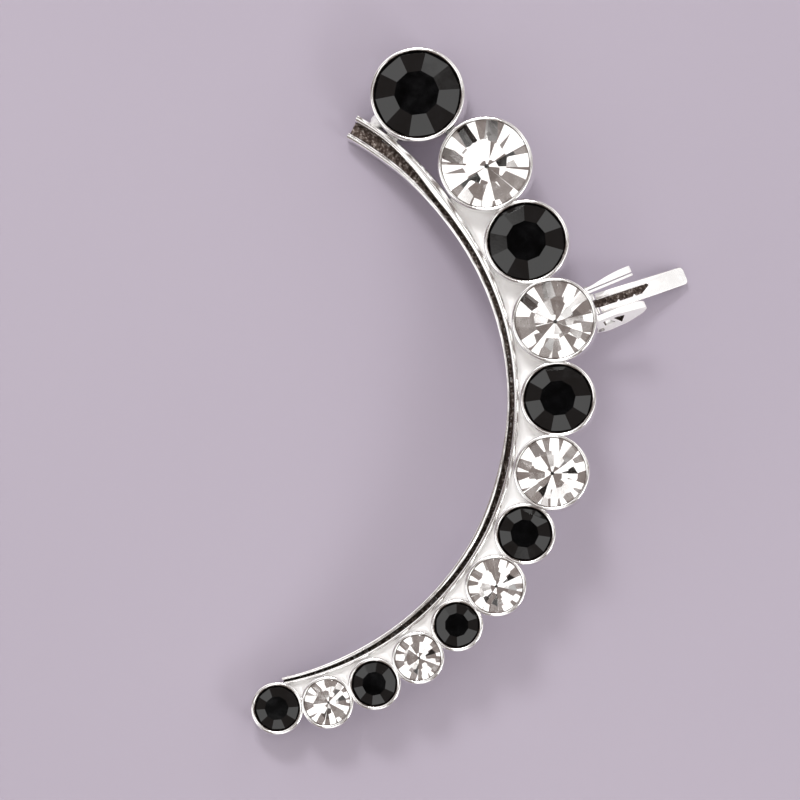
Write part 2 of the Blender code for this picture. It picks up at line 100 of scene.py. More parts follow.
BEAD_ANGLE = math.radians(59.5)
BEAD_SINK = 0.0006  # the dome starts this far below the web's top
CLIP_STONE = 4
CLIP_ANGLE = math.radians(22.5)
CLIP_OFFSET = 0.0004
BASE_THICKNESS = 0.0006
BASE_INNER_END = 0.0026
EAR_THICKNESS = 0.0005
EAR_REACH = 0.00395
EAR_DEPTH = 0.0033
UPPER_EAR_OFFSET = 0.00082
LOWER_EAR_OFFSET = 0.00098
UPPER_FLARE = math.radians(5.0)
LOWER_FLARE = math.radians(15.0)
EAR_OUTLINE = [  # past the cup's edge, of EAR_REACH; behind the backs, of EAR_DEPTH
    (-0.33, 0.09),
    (0.30, 0.09),
    (0.85, 0.22),
    (1.00, 0.40),
    (0.90, 0.60),
    (0.45, 0.95),
    (0.10, 1.00),
    (-0.20, 0.80),
]
EAR_WINDOWS = [  # corners of the windows in the lower ear, in the same shares
    [(0.04, 0.27), (0.18, 0.27), (0.27, 0.58), (0.06, 0.58)],
    [(0.27, 0.29), (0.50, 0.33), (0.40, 0.74)],
]
PIVOT_INSET = 0.0002
PIVOT_DEPTH = 0.0022
PIN_RADIUS = 0.00025
PIN_CLEARANCE = 0.0001
TONGUE_WIDTH = 0.0004
TONGUE_THICKNESS = 0.0002
TONGUE_LENGTH = 0.0024
LEVER_OPEN = math.radians(40.0)
LEVER_LENGTH = 0.0104
LEVER_THICKNESS = 0.0005
LEVER_ROOT_WIDTH = 0.00175
LEVER_TIP_WIDTH = 0.00155
LEVER_TIP_ROUND = 0.0004
LEVER_FLOOR = 0.00015
LEVER_START = 0.7  # of the knuckles' radius, from the pin
KNUCKLE_RADIUS = 0.0006
FORK_LENGTH = 0.00046
SLOT_WIDTH = 0.00062
SLOT_LENGTH = 0.0063
SLOT_POINT = 0.0010
SLOT_POINT_SHARE = 0.35

# Small forms that only the scene has
EAR_SWELLS = {1: (0.10, 0.00034), -1: (0.35, 0.00014)}  # by side: from this share of the reach, by how much
SWELL_RATE = 1.25  # a swell is full at 0.8 of its length
EAR_LEAF = 0.0002  # the upper ear is folded from two leaves
LEAF_GAP = 0.00007
SLOT_HOOKS = (0.42, 0.70)  # places of two small hooks on the slot's lower edge, of its length
HOOK_LENGTH = 0.00042
HOOK_HEIGHT = 0.00016
HOOK_SHAPE = [  # along and across the slot, of the hook's length and height
    (0.5, 0.0),
    (0.38, 0.8),
    (0.2, 1.0),
    (0.0, 0.75),
    (-0.2, 0.25),
    (-0.5, 0.0),
]
FLOOR_SEAM = 0.00002  # the back of the slot's floor is this far inside the lever's back
FLOOR_LAP = 0.0001  # how far the slot's floor reaches into the lever's metal

# Surroundings: a ring of lamps round the plate's normal, angles right and up from it
LAMPS = 5
LAMP_TWIST = 3.0
LAMP_NOISE = 3.0
LAMP_NOISE_SCALE = 5.5
LAMP_DARK_TO = 0.46
LAMP_SOFT = 0.1
LAMP_WHITE = (1.0, 0.99, 0.98)
DARK_BETWEEN = (0.17, 0.145, 0.135)
LAMPS_MIDDLE = (math.radians(5.2), math.radians(-1.2))
HOLE = (math.radians(-3.8), math.radians(3.9))  # a dark hole that the flat tables reflect
HOLE_SIZE = 0.075
HOLE_SOFT = 1.4  # where the hole ends, of its size
HOLE_DARK = (0.05, 0.05, 0.05)
WHITE = (1.0, 1.0, 1.0)
RING_STOPS = [  # height over the plate's own level; colour
    (0.00, (0.30, 0.28, 0.27)),
    (0.06, (0.24, 0.21, 0.20)),
    (0.20, WHITE),
]
WORLD_STRENGTH = 1.6
LIGHT_DISTANCE = 0.5
LIGHTS = [  # name; azimuth and elevation in degrees; size; watts
    ("key", 120.0, 50.0, 0.10, 0.8),
    ("card", 30.0, 19.0, 0.26, 0.22),
    ("fill", -40.0, 40.0, 0.15, 0.4),
]

# How fine the metal is
CUP_SIDES = 96
RAIL_STEPS = 360
RIDGE_STEPS = 10
RIDGE_ROUND = 0.00032  # height of the rounding of a ridge
GROOVE_STEPS = 10
GRAIN_SCALE = 5200.0  # of the casting's grain in the groove
GRAIN_DEPTH = 0.00012
WEB_CELL = 0.00008
BEAD_STEPS = 12
RIM_STEPS = 10
SHADED_CREASE_STEPS = 3  # steps of the rim's inner side painted dark as shade in the crease
EAR_CUTS = 14  # across an ear, so that it can bend
EAR_FOOT = 0.3  # the cuts start this share of the reach inside the cup's edge
CORNER_STEPS = 4
LEVER_TIP_STEPS = 6
KNUCKLE_SIDES = 48
MERGE_DISTANCE = 1e-7

# Roundings, laps and small irregularities
EDGE_ROUND = 0.00006
TONGUE_ROUND = 0.00003
KNUCKLE_ROUND = 0.00005
BASE_CORNER = 0.0003
EAR_CORNER = 0.0004
WINDOW_CORNER = 0.0001
TONGUE_CORNER = 0.0001
SLOT_CORNER = 0.0001
SIDES_TO_CORNER = 2.1  # a side is at least this many times as long as the rounding at each of its ends
BASE_LAP = 0.00004  # how far the base strip reaches into the cup's back
RIM_FLATNESS = 0.8  # height of the rim's rounding, of half its width
SEAT_SHARE = 0.92  # where the stone's seat meets the bore, of the pavilion's height
RIM_STRAYS = 0.000022  # how far a hand-set rim strays outwards
RIM_STRAYS_UP = 0.6  # and upwards, of that
RIM_STRAY_DEPTH = 0.0004  # from the rim's top to where it is straight
RIM_WAVES = 1.7  # radius in the noise: the larger, the more waves
CUPS_APART = 3.1  # in the noise, so that no two rims are alike
FILLET_HEIGHT = 0.00034  # of the solder where the web meets a wall
FILLET_SPREAD = 0.00014
WEB_LUMP_SCALE = 900.0
WEB_LUMP_HEIGHT = 0.00002
WEB_IN_WALL = 0.85  # of a cup's wall that the web reaches into
WEB_PAST_FIRST = math.radians(2.0)
WEB_PAST_LAST = math.radians(1.0)
WEB_END_LAP = 0.02
BEAD_LUMPS = 0.09
BEAD_WAVES = 1.1


def plate_frame():
    """The plate's frame in the world, from the back of the first cup and the first stone's middle."""
    back = next(mount for mount in frame["record"]["mounts"] if mount["name"] == "cup_back")
    up = -Vector(back["axis"])
    turn = Vector((0.0, 0.0, 1.0)).rotation_difference(up).to_matrix().to_4x4()
    reach = rail_section(FIRST_STONE_ANGLE)[0] + CUP_STANDOFF + SEAT_CLEARANCE + CUP_WALL
    diameter = stone_diameter(frame["nodes"]["stone_01"], turn)
    centre = polar(reach + diameter / 2, FIRST_STONE_ANGLE)
    return Matrix.Translation(Vector(back["pos_m"]) - turn.to_3x3() @ centre) @ turn


def polar(radius, angle, height=0.0):
    return Vector((radius * math.cos(angle), radius * math.sin(angle), height))


def stone_diameter(node, turn):
    """Diameter of a packed stone, measured across the plate's normal."""
    inverse = turn.inverted()
    points = np.array([inverse @ vertex.co for vertex in node.data.vertices])
    return float((points.max(axis=0) - points.min(axis=0))[:2].max())


def rail_section(angle):
    """Radii, at an angle, of the rail's outer edge, the groove's outer and inner edge and the inner edge."""
    along = (RAIL_START - angle) / (RAIL_START - RAIL_END)
    along = min(max(along, 0.0), 1.0)
    rows = np.array(RAIL_SECTIONS)
    places = rows[:, 0]
    slopes = np.gradient(rows[:, 1:], places, axis=0)
    i = min(int(np.searchsorted(places, along, side="right")) - 1, len(places) - 2)
    span = places[i + 1] - places[i]
    t = (along - places[i]) / span
    width, shift, groove, outer_ridge = (
        (2 * t**3 - 3 * t**2 + 1) * rows[i, 1:]
        + (t**3 - 2 * t**2 + t) * span * slopes[i]
        + (3 * t**2 - 2 * t**3) * rows[i + 1, 1:]
        + (t**3 - t**2) * span * slopes[i + 1]
    )
    outer = RAIL_RADIUS + (shift + width / 2) * RAIL_WIDTH
    groove_outer = outer - (1 - groove) * outer_ridge * width * RAIL_WIDTH
    return outer, groove_outer, groove_outer - groove * width * RAIL_WIDTH, outer - width * RAIL_WIDTH


class Nodes:
    """Adds shader nodes to a material or world and links them."""

    LEFT, STEP, ROW, ROWS = -1400, 60, 40, 9  # where the nodes lie in Blender's editor
    NOISE_RANGE = (0.3, 0.7)  # where nearly all of the noise lies

    def __init__(self, tree):
        self.tree = tree
        self.made = tree.nodes
        self.column = self.LEFT

    def add(self, kind, inputs=(), **settings):
        node = self.made.new(kind)
        node.location = (self.column, -self.ROW * (len(self.made) % self.ROWS))
        self.column += self.STEP
        for name, value in settings.items():
            setattr(node, name, value)
        for name, value in dict(inputs).items():
            self.put(node, name, value)
        return node

    def feed(self, socket, value):
        """Links a socket to the input, or sets a plain value on it."""
        if isinstance(value, bpy.types.NodeSocket):
            self.tree.links.new(value, socket)
        else:
            socket.default_value = value

    def put(self, node, name, value):
        self.feed(node.inputs[name], value)

    def ramp(self, value, stops):
        node = self.add("ShaderNodeValToRGB", {"Fac": value})
        elements = node.color_ramp.elements
        while len(elements) < len(stops):
            elements.new(0.5)
        for element, (place, colour) in zip(elements, stops):
            element.position = place
            element.color = (*colour, 1.0)
        return node.outputs["Color"]

    def remap(self, value, low, high, to_low, to_high):
        names = {"Value": value, "From Min": low, "From Max": high, "To Min": to_low, "To Max": to_high}
        return self.add("ShaderNodeMapRange", names).outputs["Result"]

    def spread(self, value, to_low, to_high):
        """Noise spread over a range of values."""
        return self.remap(value, *self.NOISE_RANGE, to_low, to_high)

    def multiply(self, first, second):
        """The product of two colours."""
        node = self.add("ShaderNodeMix", data_type="RGBA", blend_type="MULTIPLY")
        sockets = {socket.identifier: socket for socket in node.inputs}
        self.feed(sockets["Factor_Float"], 1.0)
        self.feed(sockets["A_Color"], first)
        self.feed(sockets["B_Color"], second)
        return next(socket for socket in node.outputs if socket.identifier == "Result_Color")

    def vector(self, operation, first, second, output):
        node = self.add("ShaderNodeVectorMath", operation=operation)
        self.feed(node.inputs[0], first)
        self.feed(node.inputs[1], second)
        return node.outputs[output]

    def math(self, operation, first, second=0.0):
        node = self.add("ShaderNodeMath", operation=operation)
        self.feed(node.inputs[0], first)
        self.feed(node.inputs[1], second)
        return node.outputs["Value"]

    def noise(self, coordinates, scale, detail, roughness):
        names = {"Vector": coordinates, "Scale": scale, "Detail": detail, "Roughness": roughness}
        return self.add("ShaderNodeTexNoise", names).outputs["Fac"]

    def bump(self, height, strength, distance, **under):
        names = {"Height": height, "Strength": strength, "Distance": distance, **under}
        return self.add("ShaderNodeBump", names).outputs["Normal"]


def new_material(name):
    """A material with its nodes, its shader and the place on the object."""
    material = bpy.data.materials.new(name)
    material.use_nodes = True
    nodes = Nodes(material.node_tree)
    place = nodes.add("ShaderNodeTexCoord").outputs["Object"]
    return material, nodes, material.node_tree.nodes["Principled BSDF"], place


def silver_plate(name="silver_plate", rough_low=0.07, rough_high=0.18, waviness=0.2, metallic=1.0, pale=0.0):
    """Bright plated casting: faint waviness, hairline polishing marks and slightly duller patches."""
    material, nodes, shader, place = new_material(name)
    patches = nodes.noise(place, scale=420.0, detail=4.0, roughness=0.6)
    dull, bright = (0.80, 0.785, 0.775), (0.93, 0.925, 0.92)
    colour = nodes.ramp(patches, [(0.30, [v + pale for v in dull]), (0.62, [v + pale / 2 for v in bright])])
    nodes.put(shader, "Base Color", colour)
    shader.inputs["Metallic"].default_value = metallic
    marks = nodes.noise(place, scale=2600.0, detail=2.0, roughness=0.5)
    nodes.put(shader, "Roughness", nodes.spread(marks, rough_low, rough_high))
    waves = nodes.noise(place, scale=700.0, detail=2.0, roughness=0.4)
    wavy = nodes.bump(waves, strength=waviness, distance=0.00004)
    fine = nodes.noise(place, scale=9000.0, detail=2.0, roughness=0.6)
    nodes.put(shader, "Normal", nodes.bump(fine, strength=0.08, distance=0.000006, Normal=wavy))
    return material


def dark_steel():
    """The pin: drawn steel, greyer than the plating, with fine marks."""
    material, nodes, shader, place = new_material("pin_steel")
    patches = nodes.noise(place, scale=1800.0, detail=3.0, roughness=0.6)
    colour = nodes.ramp(patches, [(0.3, (0.34, 0.32, 0.31)), (0.7, (0.60, 0.585, 0.575))])
    nodes.put(shader, "Base Color", colour)
    shader.inputs["Metallic"].default_value = 1.0
    nodes.put(shader, "Roughness", nodes.spread(patches, 0.25, 0.45))
    nodes.put(shader, "Normal", nodes.bump(patches, strength=0.2, distance=0.00002))
    return material


def tarnish_and_shade_material():
    """The unpolished floor of the groove, with the grain of the casting and dark tarnish; the same material
    is also painted on as shade in the cups' creases, the ear's windows and leaf gap and the slot's floor.
    """
    material, nodes, shader, place = new_material("groove_tarnish_and_shade")
    grain = nodes.noise(place, scale=3800.0, detail=5.0, roughness=0.7)
    tarnish = [(0.32, (0.020, 0.013, 0.010)), (0.53, (0.10, 0.072, 0.060)), (0.64, (0.42, 0.37, 0.34))]
    nodes.put(shader, "Base Color", nodes.ramp(grain, tarnish))
    shader.inputs["Metallic"].default_value = 0.8
    nodes.put(shader, "Roughness", nodes.spread(grain, 0.62, 0.36))
    nodes.put(shader, "Normal", nodes.bump(grain, strength=0.9, distance=0.00008))
    return material


def black_glass():
    """Opaque black glass, polished, with a breath of haze and a few polishing marks."""
    material, nodes, shader, place = new_material("black_glass")
    haze = nodes.noise(place, scale=900.0, detail=3.0, roughness=0.55)
    colour = nodes.ramp(haze, [(0.3, (0.001, 0.001, 0.001)), (0.7, (0.003, 0.003, 0.0035))])
    nodes.put(shader, "Base Color", colour)
    nodes.put(shader, "Roughness", nodes.spread(haze, 0.02, 0.09))
    shader.inputs["IOR"].default_value = 1.55
    fine = nodes.noise(place, scale=5200.0, detail=2.0, roughness=0.5)
    nodes.put(shader, "Normal", nodes.bump(fine, strength=0.05, distance=0.000006))
    return material


def clear_glass():
    """The crown and table of a clear stone."""
    material, nodes, shader, place = new_material("clear_glass")
    tint = nodes.noise(place, scale=300.0, detail=2.0, roughness=0.5)
    nodes.put(shader, "Base Color", nodes.ramp(tint, [(0.3, (0.985, 0.985, 0.99)), (0.7, WHITE)]))
    shader.inputs["Transmission Weight"].default_value = 1.0
    shader.inputs["IOR"].default_value = 1.56
    nodes.put(shader, "Roughness", nodes.spread(tint, 0.0, 0.008))
    return material


def foil_back():
    """The mirror foil behind a clear stone, with faint tarnish."""
    material, nodes, shader, place = new_material("foil_back")
    stain = nodes.noise(place, scale=800.0, detail=3.0, roughness=0.6)
    colour = nodes.ramp(stain, [(0.35, (0.90, 0.885, 0.88)), (0.6, (0.98, 0.975, 0.97))])
    nodes.put(shader, "Base Color", colour)
    shader.inputs["Metallic"].default_value = 1.0
    nodes.put(shader, "Roughness", nodes.spread(stain, 0.01, 0.04))
    return material


def pale_floor():
    """The plain matt floor, with hardly any cloud in it."""
    material, nodes, shader, place = new_material("pale_floor")
    cloud = nodes.noise(place, scale=9.0, detail=3.0, roughness=0.5)
    colour = nodes.ramp(cloud, [(0.3, (0.40, 0.355, 0.43)), (0.7, (0.43, 0.385, 0.46))])
    nodes.put(shader, "Base Color", colour)
    nodes.put(shader, "Roughness", nodes.spread(cloud, 0.75, 0.9))
    return material


def add_piece(name, verts, faces, materials, matrix, body="cuff", sharp=40.0):
    """A mesh piece that rides on a body and takes its finish from a slot."""
    mesh = bpy.data.meshes.new(name)
    mesh.from_pydata([tuple(v) for v in verts], [], faces)
    mesh.validate()
    mesh.transform(matrix)
    obj = bpy.data.objects.new(name, mesh)
    bpy.context.scene.collection.objects.link(obj)
    for material in materials:
        mesh.materials.append(material)
    work = bmesh.new()
    work.from_mesh(mesh)
    bmesh.ops.recalc_face_normals(work, faces=work.faces)
    work.to_mesh(mesh)
    work.free()
    mesh.shade_smooth()
    mesh.set_sharp_from_angle(angle=math.radians(sharp))
    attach(obj, body)
    return obj


def ring_faces(rings, per_ring):
    """Faces of a loft through closed rings of points, with a cap at each end."""
    faces = []
    for ring in range(rings - 1):
        for i in range(per_ring):
            j = (i + 1) % per_ring
            a, b = ring * per_ring, (ring + 1) * per_ring
            faces.append((a + i, a + j, b + j, b + i))
    faces.append(tuple(range(per_ring)))
    faces.append(tuple((rings - 1) * per_ring + i for i in range(per_ring)))
    return faces


def arc(centre, radii, start, end, steps):
    """Points (r, z) on an elliptic arc."""
    turns = [start + (end - start) * step / steps for step in range(steps + 1)]
    return [(centre[0] + radii[0] * math.cos(t), centre[1] + radii[1] * math.sin(t)) for t in turns]


def ridge(outer, inner):
    """Rounded top of a ridge, from its outer to its inner side."""
    half = (outer - inner) / 2
    rise = min(half, RIDGE_ROUND)
    return arc((inner + half, RAIL_HEIGHT - rise), (half, rise), 0.0, math.pi, RIDGE_STEPS)


def build_rail(silver, groove_material):
    """The channel: two rounded ridges and a rough groove, lofted along the arc."""
    verts = []
    floor = RAIL_HEIGHT - GROOVE_DEPTH
    low = RAIL_BACK + EDGE_ROUND
    for step in range(RAIL_STEPS + 1):
        angle = RAIL_START + (RAIL_END - RAIL_START) * step / RAIL_STEPS
        outer, groove_outer, groove_inner, inner = rail_section(angle)
        section = [(inner + EDGE_ROUND, RAIL_BACK), (outer - EDGE_ROUND, RAIL_BACK), (outer, low)]
        section += ridge(outer, groove_outer)
        floor_start = len(section)
        for k in range(GROOVE_STEPS + 1):
            share = k / GROOVE_STEPS
            r = groove_outer + (groove_inner - groove_outer) * share
            grain = noise.noise(polar(r, angle) * GRAIN_SCALE) * GRAIN_DEPTH * math.sin(math.pi * share)
            section.append((r, floor + grain))
        floor_end = len(section)
        section += ridge(groove_inner, inner)
        section.append((inner, low))
        verts += [polar(r, angle, z) for r, z in section]
    per_ring = len(section)
    faces = ring_faces(RAIL_STEPS + 1, per_ring)
    rail = add_piece("rail", verts, faces, [silver, groove_material], PLATE)
    for polygon in rail.data.polygons:
        spots = [i % per_ring for i in polygon.vertices]
        if len(spots) == 4 and min(spots) >= floor_start - 1 and max(spots) <= floor_end:
            polygon.material_index = 1
    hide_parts("cuff_frame")


def stone_facts():
    """(number, node, middle in the plate, diameter) of each stone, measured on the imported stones."""
    inverse = PLATE.inverted()
    turn = PLATE.to_3x3().to_4x4()
    facts = []
    for name in sorted(n for n in frame["nodes"] if n.startswith("stone_")):
        node = frame["nodes"][name]
        points = [inverse @ vertex.co for vertex in node.data.vertices]
        xs, ys = [p.x for p in points], [p.y for p in points]
        centre = Vector(((min(xs) + max(xs)) / 2, (min(ys) + max(ys)) / 2, 0.0))
        facts.append((int(name[-2:]), node, centre, stone_diameter(node, turn)))
    return facts


def cup_radius(diameter):
    return diameter / 2 + SEAT_CLEARANCE + CUP_WALL


def rim_heights(diameter):
    """Underside and top of the rim, from the stone's crown as in the solids."""
    culet = CUP_FLOOR + SEAT_CLEARANCE
    girdle_top = culet + (PAVILION_SHARE + GIRDLE_SHARE) * diameter
    radius = diameter / 2
    slope = CROWN_SHARE * diameter / (radius - TABLE_SHARE * radius)
    inner = radius - RIM_GRIP
    underside = girdle_top + slope * (radius - inner * math.cos(math.pi / FACETS)) + SEAT_CLEARANCE
    return underside, underside + RIM_HEIGHT


def build_cup(number, centre, diameter, silver, painted_shade):
    """A bezel cup with a rounded, slightly hand-set rim and painted shade in the crease where it meets the
    stone.
    """
    radius, outer = diameter / 2, cup_radius(diameter)
    mouth, bore = radius - RIM_GRIP, radius + SEAT_CLEARANCE
    underside, top = rim_heights(diameter)
    half = (outer - mouth) / 2
    rise = half * RIM_FLATNESS
    seat_top = CUP_FLOOR + SEAT_CLEARANCE + PAVILION_SHARE * diameter * SEAT_SHARE
    profile = [(0.0, 0.0), (outer - EDGE_ROUND, 0.0), (outer, EDGE_ROUND)]
    shaded_crease_start = len(profile) + RIM_STEPS - SHADED_CREASE_STEPS
    profile += arc(((outer + mouth) / 2, top - rise), (half, rise), 0, math.pi, RIM_STEPS)
    profile += [(bore, underside), (bore, seat_top), (DRILL_SHARE * diameter, CUP_FLOOR), (0.0, CUP_FLOOR)]
    verts, faces = [], []
    for side in range(CUP_SIDES):
        angle = 2 * math.pi * side / CUP_SIDES
        wobble = noise.noise(polar(RIM_WAVES, angle, number * CUPS_APART)) * RIM_STRAYS
        for r, z in profile:
            stray = wobble * max(0.0, min(1.0, (z - top + RIM_STRAY_DEPTH) / RIM_STRAY_DEPTH))
            verts.append(polar(r + (stray if r > 0 else 0.0), angle, z + stray * RIM_STRAYS_UP))
    count = len(profile)
    for side in range(CUP_SIDES):
        a, b = side * count, ((side + 1) % CUP_SIDES) * count
        faces += [(a + i, a + i + 1, b + i + 1, b + i) for i in range(count - 1)]
    cup = add_piece(f"cup_{number:02d}", verts, faces, [silver, painted_shade], PLATE @ Matrix.Translation(centre))
    # The rim's inner steps take the dark material: painted shade in the crease
    for polygon in cup.data.polygons:
        if polygon.index % (count - 1) >= shaded_crease_start:
            polygon.material_index = 1
    work = bmesh.new()
    work.from_mesh(cup.data)
    bmesh.ops.remove_doubles(work, verts=work.verts, dist=MERGE_DISTANCE)
    bmesh.ops.recalc_face_normals(work, faces=work.faces)
    work.to_mesh(cup.data)
    work.free()


def web_height(point, walls, rail_edge):
    """Top of the web, which climbs in a small fillet of solder where it meets a wall."""
    gap = min(abs((point - centre).length - outer) for centre, outer in walls)
    gap = min(gap, abs(point.length - rail_edge))
    lumps = noise.noise(point * WEB_LUMP_SCALE) * WEB_LUMP_HEIGHT
    return WEB_HIGH + FILLET_HEIGHT * math.exp(-gap / FILLET_SPREAD) + lumps


def distance_to_tie(point, ties):
    """How far a point is from the nearest of the lines that the ties follow."""
    distances = []
    for a, b in ties:
        along = b - a
        share = max(0.0, min(1.0, (point - a).dot(along) / along.length_squared))
        distances.append((point - a - along * share).length)
    return min(distances)


def build_web(facts, silver):
    """The sheet of metal between rail and cups, and the solder between neighbouring cups."""
    walls = [(centre, cup_radius(diameter)) for _, _, centre, diameter in facts]
    centres = [centre for centre, _ in walls]
    angles = [math.atan2(c.y, c.x) for c in centres]
    ties = list(zip(centres, centres[1:]))
    ties.append((centres[0], polar(rail_section(angles[0])[0], angles[0])))
    start, end = angles[0] + WEB_PAST_FIRST, angles[-1] - WEB_PAST_LAST
    columns = int((start - end) * RAIL_RADIUS / WEB_CELL)
    reach = max(c.length for c in centres) + TIE_WIDTH - RAIL_RADIUS
    rows = int(reach / WEB_CELL)
    index, verts = {}, []

    def kept(point, angle):
        """Whether the metal reaches this point between the cups."""
        for centre, outer in walls:
            if (point - centre).length < outer - CUP_WALL * WEB_IN_WALL:
                return False
        line = float(np.interp(-angle, [-a for a in angles], [c.length for c in centres]))
        in_web = angles[-1] - WEB_END_LAP <= angle <= angles[1] and point.length <= line
        return in_web or distance_to_tie(point, ties) < TIE_WIDTH / 2

    for column in range(columns + 1):
        angle = start + (end - start) * column / columns
        edge, groove_outer, _, _ = rail_section(angle)
        inner = (edge + groove_outer) / 2
        for row in range(rows + 1):
            point = polar(inner + reach * row / rows, angle)
            if kept(point, angle):
                index[column, row] = len(verts)
                verts.append(Vector((point.x, point.y, web_height(point, walls, edge))))
    faces = []
    for column, row in index:
        corners = [(column, row), (column + 1, row), (column + 1, row + 1), (column, row + 1)]
        if all(corner in index for corner in corners):
            faces.append(tuple(index[corner] for corner in corners))
    web = add_piece("web", verts, faces, [silver], PLATE)
    work = bmesh.new()
    work.from_mesh(web.data)
    bmesh.ops.delete(work, geom=[v for v in work.verts if not v.link_faces], context="VERTS")
    up = PLATE.to_3x3() @ Vector((0.0, 0.0, 1.0))
    if sum(face.normal.dot(up) for face in work.faces) < 0:
        bmesh.ops.reverse_faces(work, faces=work.faces)
    work.to_mesh(web.data)
    work.free()
    thick = web.modifiers.new("thickness", "SOLIDIFY")
    thick.thickness = WEB_HIGH - WEB_LOW
    thick.offset = -1.0


def build_bead(silver):
    """The lump of solder beside the rail's top end: a dome that runs out at its foot."""
    foot = WEB_HIGH - BEAD_SINK
    rise = BEAD_HEIGHT - foot
    verts = []
    for step in range(BEAD_STEPS):
        turn = math.radians(90.0) * step / BEAD_STEPS
        for side in range(CUP_SIDES):
            around = 2 * math.pi * side / CUP_SIDES
            lump = 1.0 + BEAD_LUMPS * noise.noise(polar(BEAD_WAVES, around, turn))
            verts.append(polar(BEAD_RADIUS * lump * math.cos(turn), around, foot + rise * math.sin(turn)))
    place = PLATE @ Matrix.Translation(polar(rail_section(BEAD_ANGLE)[0] + BEAD_OUT, BEAD_ANGLE))
    add_piece("solder_bead", verts, ring_faces(BEAD_STEPS, CUP_SIDES), [silver], place)


def curve_plate(name, outlines, low, high, rounding, material, matrix, body):
    """A flat plate with rounded edges from one outline, or from an outline and its windows."""
    curve = bpy.data.curves.new(name, "CURVE")
    curve.dimensions = "2D"
    curve.fill_mode = "BOTH"
    curve.extrude = (high - low) / 2 - rounding
    curve.bevel_depth = rounding
    curve.bevel_resolution = 2
    curve.offset = -rounding
    for outline in outlines:
        spline = curve.splines.new("POLY")
        spline.points.add(len(outline) - 1)
        for point, (x, y) in zip(spline.points, outline):
            point.co = (x, y, 0.0, 1.0)
        spline.use_cyclic_u = True
    drawn = bpy.data.objects.new(name, curve)
    bpy.context.scene.collection.objects.link(drawn)
    graph = bpy.context.evaluated_depsgraph_get()
    mesh = bpy.data.meshes.new_from_object(drawn.evaluated_get(graph))
    bpy.data.objects.remove(drawn)
    work = bmesh.new()
    work.from_mesh(mesh)
    bmesh.ops.remove_doubles(work, verts=work.verts, dist=MERGE_DISTANCE)
    verts = [vertex.co + Vector((0.0, 0.0, (low + high) / 2)) for vertex in work.verts]
    work.verts.index_update()
    faces = [[vertex.index for vertex in face.verts] for face in work.faces]
    work.free()
    bpy.data.meshes.remove(mesh)
    return add_piece(name, verts, faces, [material], matrix, body=body, sharp=50.0)


def smooth_outline(points, rounding):
    """The outline with each corner rounded by a short arc-like curve."""
    result = []
    count = len(points)
    for i, point in enumerate(points):
        here = Vector(point)
        before, after = Vector(points[i - 1]) - here, Vector(points[(i + 1) % count]) - here
        cut = min(rounding, before.length / SIDES_TO_CORNER, after.length / SIDES_TO_CORNER)
        a, b = here + before.normalized() * cut, here + after.normalized() * cut
        for step in range(CORNER_STEPS + 1):
            t = step / CORNER_STEPS
            result.append(tuple((1 - t) ** 2 * a + 2 * t * (1 - t) * here + t**2 * b))
    return result


def clip_place(facts):
    """The clip's frame at the middle of its stone, and how far from it the cup's edge is."""
    _, _, centre, diameter = facts[CLIP_STONE - 1]
    turn = Matrix.Rotation(CLIP_ANGLE, 4, "Z")
    place = PLATE @ Matrix.Translation(centre) @ turn @ Matrix.Translation((0.0, CLIP_OFFSET, 0.0))
    return place, math.sqrt(cup_radius(diameter) ** 2 - CLIP_OFFSET**2)


def ear_points(shares, edge):
    """Corners in an ear's plane from their shares of the ear's reach and depth."""
    return [(edge + along * EAR_REACH, -deep * EAR_DEPTH) for along, deep in shares]


def paint_ear_shade(mesh, edge, sign, outermost):
    """Painted shade: the walls of the lower ear's windows take the dark material, and so do the sides of the
    gap between two leaves.
    """
    for polygon in mesh.polygons:
        middle = polygon.center
        for corners in EAR_WINDOWS if sign < 0 and abs(polygon.normal.z) < 0.5 else []:
            xs, ys = zip(*ear_points(corners, edge))
            if min(xs) < middle.x < max(xs) and min(ys) < middle.y < max(ys):
                polygon.material_index = 1
        facing_gap = polygon.normal.z > 0.9 if outermost else polygon.normal.z < -0.9
        if sign > 0 and facing_gap:
            polygon.material_index = 1


def swell_ear(mesh, edge, sign, middle):
    """The outer side of an ear swells away from the lever."""
    work = bmesh.new()
    work.from_mesh(mesh)
    for cut in range(1, EAR_CUTS):
        along = cut / EAR_CUTS * (1 + EAR_FOOT) - EAR_FOOT
        place = Vector((edge + EAR_REACH * along, 0.0, 0.0))
        everything = list(work.verts) + list(work.edges) + list(work.faces)
        bmesh.ops.bisect_plane(
            work, geom=everything, plane_co=place, plane_no=(1.0, 0.0, 0.0), dist=MERGE_DISTANCE
        )
    start, most = EAR_SWELLS[sign]
    for vertex in work.verts if middle is not None else []:
        share = max(0.0, ((vertex.co.x - edge) / EAR_REACH - start) / (1 - start))
        if (vertex.co.z - middle) * sign < 0:
            vertex.co.z -= sign * most * math.sin(math.radians(90.0) * min(1.0, SWELL_RATE * share))
    work.to_mesh(mesh)
    work.free()


